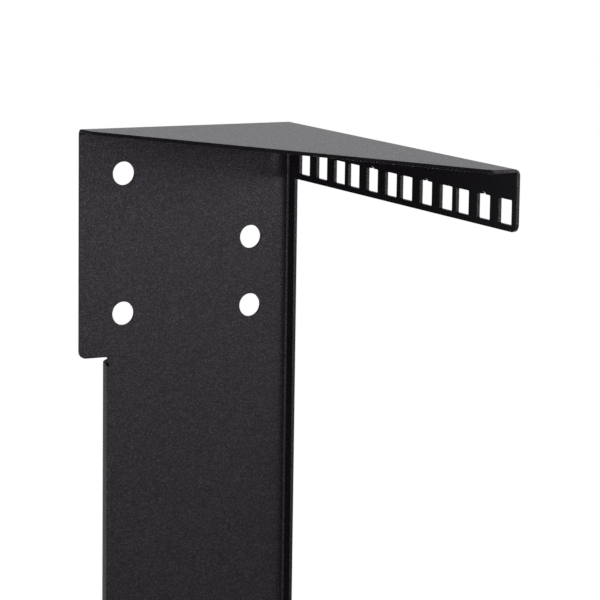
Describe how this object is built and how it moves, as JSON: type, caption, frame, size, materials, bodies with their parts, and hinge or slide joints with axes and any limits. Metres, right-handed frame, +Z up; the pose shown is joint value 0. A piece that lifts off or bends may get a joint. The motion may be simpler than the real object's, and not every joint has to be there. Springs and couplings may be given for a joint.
{
  "type": "wall mount rack bracket",
  "caption": "Folded steel wall bracket with triangular end gussets and square-hole rails that carry 19-inch rack equipment on edge, close to the wall.",
  "frame": {"origin": "on the wall face, midway between the two bolt-hole columns and midway up the bracket", "axes": "+Z up along the wall, +Y into the wall (the bracket stands out along -Y), +X towards the side that carries the rails"},
  "size_m": [0.099, 0.1894, 0.4988],
  "materials": {
    "powder_coat": "fine-textured semi-gloss charcoal black powder coat"
  },
  "bodies": {
    "root": {"bracket": "powder_coat"}
  },
  "joints": []
}
